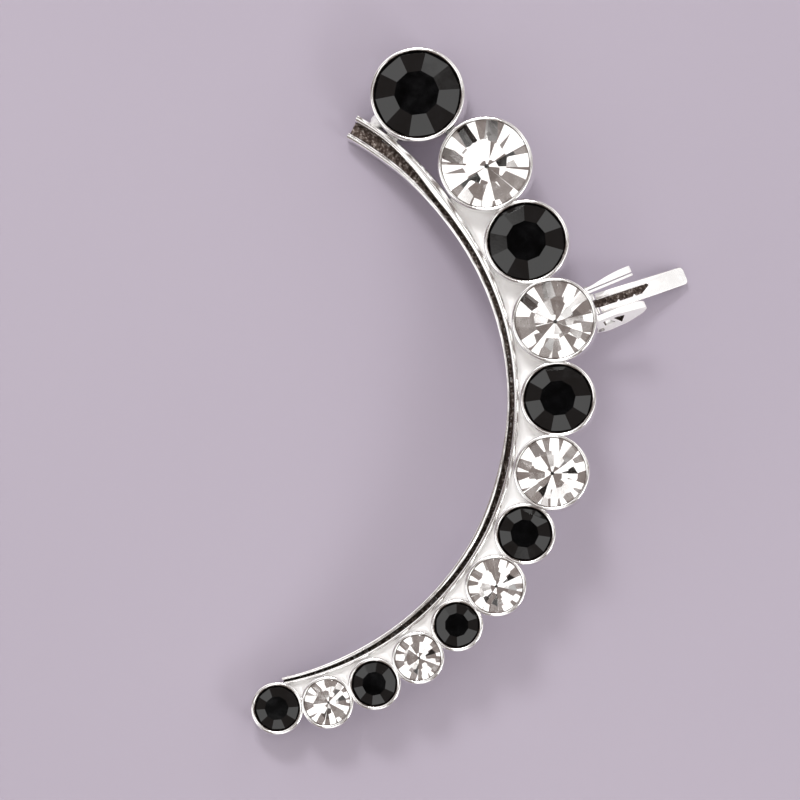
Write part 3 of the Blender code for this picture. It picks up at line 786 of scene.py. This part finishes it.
def build_ear(name, sign, offset, flare, facts, silver, painted_shade):
    """One ear of the bracket: the lower has two windows, the upper is folded from two leaves."""
    place, edge = clip_place(facts)
    half = EAR_THICKNESS / 2
    upright = Matrix.Rotation(math.radians(90.0) + sign * flare, 4, "X")
    ear = place @ Matrix.Translation((0.0, sign * (offset + half), 0.0)) @ upright
    outlines = [smooth_outline(ear_points(EAR_OUTLINE, edge), EAR_CORNER)]
    if sign < 0:
        outlines += [smooth_outline(ear_points(corners, edge), WINDOW_CORNER) for corners in EAR_WINDOWS]
        leaves = [(name, -half, half)]
    else:
        fold = half - EAR_LEAF
        leaves = [(f"{name}_inner", fold, half), (f"{name}_outer", -half, fold - LEAF_GAP)]
    for leaf, low, high in leaves:
        piece = curve_plate(leaf, outlines, low, high, EDGE_ROUND, silver, Matrix(), "cuff")
        piece.data.materials.append(painted_shade)
        outermost = low < 0
        # Painted shade on the window walls and in the gap between the leaves
        paint_ear_shade(piece.data, edge, sign, outermost)
        swell_ear(piece.data, edge, sign, (low + high) / 2 if outermost else None)
        piece.data.transform(ear)


def build_bracket(facts, silver, painted_shade):
    """Base strip, ears and spring tongue behind the clip's stone."""
    place, edge = clip_place(facts)
    low, high = -LOWER_EAR_OFFSET - EAR_THICKNESS, UPPER_EAR_OFFSET + EAR_THICKNESS
    strip = [(-BASE_INNER_END, low), (edge, low), (edge, high), (-BASE_INNER_END, high)]
    outlines = [smooth_outline(strip, BASE_CORNER)]
    curve_plate("clip_base", outlines, -BASE_THICKNESS, BASE_LAP, EDGE_ROUND, silver, place, "cuff")
    build_ear("ear_upper", 1, UPPER_EAR_OFFSET, UPPER_FLARE, facts, silver, painted_shade)
    build_ear("ear_lower", -1, LOWER_EAR_OFFSET, LOWER_FLARE, facts, silver, painted_shade)
    under_pin = PIVOT_DEPTH - PIN_RADIUS - PIN_CLEARANCE
    rise = math.atan2(under_pin - BASE_THICKNESS - TONGUE_THICKNESS, TONGUE_LENGTH)
    tip = Matrix.Translation((edge - PIVOT_INSET - PIN_RADIUS, 0.0, -under_pin))
    length, half = TONGUE_LENGTH + BASE_THICKNESS, TONGUE_WIDTH / 2
    strip = [(-length, -half), (0.0, -half), (0.0, half), (-length, half)]
    tongue = place @ tip @ Matrix.Rotation(rise, 4, "Y")
    outlines = [smooth_outline(strip, TONGUE_CORNER)]
    curve_plate("spring_tongue", outlines, 0.0, TONGUE_THICKNESS, TONGUE_ROUND, silver, tongue, "cuff")


def lever_outline(slot):
    """The paddle with its open slot, which ends in a point and has small hooks on its lower edge."""
    root, tip = LEVER_ROOT_WIDTH / 2, LEVER_TIP_WIDTH / 2
    start = LEVER_START * KNUCKLE_RADIUS
    corner = LEVER_TIP_ROUND
    outline = [(start, -slot), (start, -root)]
    for sign in (-1, 1):
        for step in range(LEVER_TIP_STEPS + 1):
            turn = math.radians(90.0) * (step if sign < 0 else LEVER_TIP_STEPS - step) / LEVER_TIP_STEPS
            across = tip - corner * (1 - math.cos(turn))
            outline.append((LEVER_LENGTH - corner * (1 - math.sin(turn)), sign * across))
    outline += [(start, root), (start, slot)]
    point = SLOT_POINT_SHARE * slot
    outline += [(SLOT_LENGTH - SLOT_CORNER, slot), (SLOT_LENGTH, (slot + point) / 2)]
    outline += [(SLOT_LENGTH - SLOT_CORNER, point), (SLOT_LENGTH - SLOT_POINT, -slot)]
    for share in reversed(SLOT_HOOKS):
        at = share * SLOT_LENGTH
        outline += [(at + along * HOOK_LENGTH, -slot + up * HOOK_HEIGHT) for along, up in HOOK_SHAPE]
    return outline


def build_slot_floor(pivot, slot, silver, painted_shade):
    """The sunk floor of the slot: painted dark in front as shade in the channel, plated behind."""
    start, end = FORK_LENGTH, SLOT_LENGTH + FLOOR_LAP
    side = slot + FLOOR_LAP
    sunk = [(start, -side), (end, -side), (end, side), (start, side)]
    back = -LEVER_THICKNESS / 2
    low, high = back + FLOOR_SEAM, back + LEVER_FLOOR
    piece = curve_plate("lever_slot_floor", [sunk], low, high, FLOOR_SEAM, painted_shade, pivot, "clip")
    piece.data.materials.append(silver)
    front = pivot.to_3x3() @ Vector((0.0, 0.0, 1.0))
    # Faces towards the back are plated; the rest carry painted shade
    for polygon in piece.data.polygons:
        polygon.material_index = 1 if polygon.normal.dot(front) < -0.5 else 0


def build_knuckle(name, pivot, across, width, silver):
    """One of the two rings that turn on the pin."""
    bore, radius = PIN_RADIUS + PIN_CLEARANCE, KNUCKLE_RADIUS
    half, chamfer = width / 2, KNUCKLE_ROUND
    profile = [(bore, -half), (radius - chamfer, -half), (radius, -half + chamfer)]
    profile += [(radius, half - chamfer), (radius - chamfer, half), (bore, half)]
    turns = np.linspace(0, 2 * math.pi, KNUCKLE_SIDES, False)
    verts = [(r * math.cos(t), y, r * math.sin(t)) for t in turns for r, y in profile]
    count = len(profile)
    faces = []
    for i in range(KNUCKLE_SIDES):
        a, b = i * count, ((i + 1) % KNUCKLE_SIDES) * count
        for k in range(count):
            c = (k + 1) % count
            faces.append((a + k, a + c, b + c, b + k))
    add_piece(name, verts, faces, [silver], pivot @ Matrix.Translation((0.0, across, 0.0)), body="clip")


def build_lever(facts, silver, painted_shade):
    """The paddle with its sunk slot, and the two knuckles on the pin."""
    place, edge = clip_place(facts)
    open_turn = Matrix.Rotation(LEVER_OPEN, 4, "Y")
    pivot = place @ Matrix.Translation((edge - PIVOT_INSET, 0.0, -PIVOT_DEPTH)) @ open_turn
    root, slot, half = LEVER_ROOT_WIDTH / 2, SLOT_WIDTH / 2, LEVER_THICKNESS / 2
    lever = curve_plate("lever_paddle", [lever_outline(slot)], -half, half, EDGE_ROUND, silver, pivot, "clip")
    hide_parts("clip_lever")
    build_slot_floor(pivot, slot, silver, painted_shade)
    for name, sign in (("knuckle_lower", -1), ("knuckle_upper", 1)):
        build_knuckle(name, pivot, sign * (root + slot) / 2, root - slot, silver)


def dress_stones(facts, black, clear, foil):
    """Black stones are opaque. A clear one has glass in front and mirror foil on its pavilion."""
    up = PLATE.to_3x3() @ Vector((0.0, 0.0, 1.0))
    for number, node, _, _ in facts:
        node.data.materials.clear()
        if number % 2:
            node.data.materials.append(black)
            continue
        node.data.materials.append(clear)
        node.data.materials.append(foil)
        for polygon in node.data.polygons:
            polygon.material_index = 1 if polygon.normal.dot(up) < -0.1 else 0


def dress_pin(steel):
    materials = frame["nodes"]["hinge_pin"].data.materials
    materials.clear()
    materials.append(steel)


def build_world():
    """Soft studio surroundings, fixed to the plate's frame.

    They are dim at the plate's own level and bright above it, where twisted dark sectors part the lamps.
    A small dark hole lies where the flat tables of the stones look.
    """
    world = bpy.data.worlds.new("studio")
    bpy.context.scene.world = world
    world.use_nodes = True
    nodes = Nodes(world.node_tree)
    direction = nodes.add("ShaderNodeTexCoord").outputs["Generated"]
    along = [nodes.vector("DOT_PRODUCT", direction, axis, "Value") for axis in PLATE.to_3x3().col]
    ring = nodes.ramp(along[2], RING_STOPS)
    flat = nodes.add("ShaderNodeCombineXYZ", {"X": along[0], "Y": along[1]}).outputs["Vector"]
    away = nodes.vector("DISTANCE", flat, [math.sin(angle) for angle in HOLE] + [0.0], "Value")
    hole = nodes.ramp(away, [(HOLE_SIZE, HOLE_DARK), (HOLE_SOFT * HOLE_SIZE, WHITE)])
    right, up = (nodes.math("SUBTRACT", along[k], math.sin(LAMPS_MIDDLE[k])) for k in range(2))
    around = nodes.math("MULTIPLY", nodes.math("ARCTAN2", up, right), LAMPS)
    turn = nodes.math("ADD", around, nodes.math("MULTIPLY", along[2], LAMP_TWIST))
    swirl = nodes.noise(direction, LAMP_NOISE_SCALE, detail=1.0, roughness=0.5)
    turn = nodes.math("ADD", turn, nodes.math("MULTIPLY", swirl, LAMP_NOISE))
    wave = nodes.remap(nodes.math("SINE", turn), -1.0, 1.0, 0.0, 1.0)
    bands = nodes.ramp(wave, [(LAMP_DARK_TO, DARK_BETWEEN), (LAMP_DARK_TO + LAMP_SOFT, LAMP_WHITE)])
    background = world.node_tree.nodes["Background"]
    nodes.put(background, "Color", nodes.multiply(nodes.multiply(ring, bands), hole))
    background.inputs["Strength"].default_value = WORLD_STRENGTH


def add_light(name, azimuth, elevation, size, watts, target):
    """A square soft light that faces the target."""
    light = bpy.data.lights.new(name, "AREA")
    light.size = size
    light.energy = watts
    obj = bpy.data.objects.new(name, light)
    bpy.context.scene.collection.objects.link(obj)
    azimuth, elevation = math.radians(azimuth), math.radians(elevation)
    away = polar(math.cos(elevation), azimuth, math.sin(elevation))
    obj.location = target + away * LIGHT_DISTANCE
    obj.rotation_euler = away.to_track_quat("Z", "Y").to_euler()


def build_camera():
    """The camera at the photograph's angle to the plate. Returns what it looks at."""
    data = bpy.data.cameras.new("camera")
    data.sensor_width = SENSOR
    data.lens = SENSOR * CAMERA_DISTANCE / FIELD
    data.clip_start = CAMERA_CLIP
    camera = bpy.data.objects.new("camera", data)
    bpy.context.scene.collection.objects.link(camera)
    look = Matrix.Rotation(CAMERA_RIGHT, 3, "Y") @ Matrix.Rotation(CAMERA_BELOW, 3, "X")
    axes = PLATE.to_3x3() @ look
    target = PLATE @ Vector((*PHOTO_MIDDLE, PHOTO_HEIGHT))
    place = target + axes @ Vector((0.0, 0.0, CAMERA_DISTANCE))
    camera.matrix_world = Matrix.Translation(place) @ axes.to_4x4()
    bpy.context.scene.camera = camera
    return target


def build_floor():
    size = FLOOR_SIZE
    mesh = bpy.data.meshes.new("floor")
    corners = [(-size, -size, 0.0), (size, -size, 0.0), (size, size, 0.0), (-size, size, 0.0)]
    mesh.from_pydata(corners, [], [(0, 1, 2, 3)])
    floor = bpy.data.objects.new("floor", mesh)
    bpy.context.scene.collection.objects.link(floor)
    floor.location.z = -FLOOR_DROP
    mesh.materials.append(pale_floor())


PLATE = plate_frame()
silver = silver_plate()
frosted = silver_plate(
    "silver_frosted", rough_low=0.30, rough_high=0.45, waviness=0.3, metallic=0.15, pale=0.14
)
groove = tarnish_and_shade_material()
facts = stone_facts()
build_rail(silver, groove)
# From here the groove's material is also painted shade: in the cups' creases, the ear's windows and leaf gap
# and the slot's floor
for number, node, centre, diameter in facts:
    build_cup(number, centre, diameter, silver, groove)
build_web(facts, frosted)
build_bead(frosted)
build_bracket(facts, frosted, groove)
build_lever(facts, silver, groove)
dress_stones(facts, black_glass(), clear_glass(), foil_back())
dress_pin(dark_steel())
build_world()
target = build_camera()
for name, azimuth, elevation, size, watts in LIGHTS:
    add_light(name, azimuth, elevation, size, watts, target)
build_floor()
bpy.context.scene.view_settings.view_transform = "Standard"
